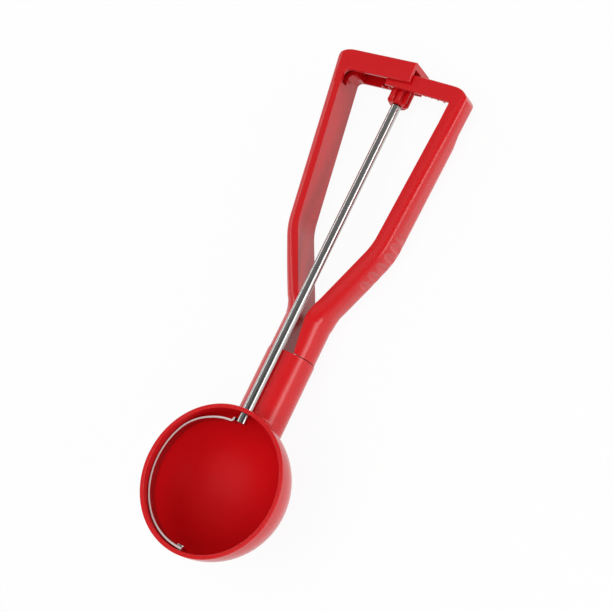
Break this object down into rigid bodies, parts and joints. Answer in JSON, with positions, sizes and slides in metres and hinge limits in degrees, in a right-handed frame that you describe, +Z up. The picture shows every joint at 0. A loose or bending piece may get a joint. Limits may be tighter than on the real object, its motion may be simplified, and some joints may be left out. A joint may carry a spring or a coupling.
{
  "type": "cookie scoop",
  "caption": "Red plastic cookie scoop: sprung handle arms turn a geared steel rod, whose thin blade sweeps the inside of the round bowl when the arms are squeezed.",
  "frame": {"origin": "centre of the bottom of the bounding box, where the scoop lies on its back", "axes": "+X from the bowl towards the squeeze handle, +Y towards the left arm, which carries the hood, +Z up, out of the bowl's mouth"},
  "size_m": [0.2068, 0.0606, 0.0394],
  "materials": {
    "red_plastic": "gloss",
    "steel": "polished"
  },
  "bodies": {
    "stem_body": {"bowl": "red_plastic", "fork_tenon": "red_plastic", "pivot_pin": "steel"},
    "left_side": {"left_arm": "red_plastic"},
    "right_side": {"right_arm": "red_plastic"},
    "scraper": {"drive_rod": "steel", "pinion": "red_plastic", "scraper_blade": "steel"}
  },
  "joints": [
    {"name": "left_squeeze", "type": "hinge", "parent": "stem_body", "child": "left_side", "pos_m": [-0.02092, 0.00409, 0.0114], "axis": [-0.1514, 0, -0.9885], "range_deg": [0, 5.38], "stiffness_Nm_per_rad": 12},
    {"name": "right_squeeze", "type": "hinge", "parent": "stem_body", "child": "right_side", "pos_m": [-0.02092, -0.00511, 0.0114], "axis": [0.1514, 0, 0.9885], "range_deg": [0, 5.39], "stiffness_Nm_per_rad": 12},
    {"name": "blade_sweep", "type": "hinge", "parent": "stem_body", "child": "scraper", "pos_m": [-0.07447, -0.00051, 0.03234], "axis": [-0.9885, 0, 0.1514], "range_deg": [0, 162]}
  ],
  "couplings": [
    {"joint": "right_squeeze", "follows": "left_squeeze", "ratio": 1},
    {"joint": "blade_sweep", "follows": "left_squeeze", "ratio": 30.066}
  ]
}
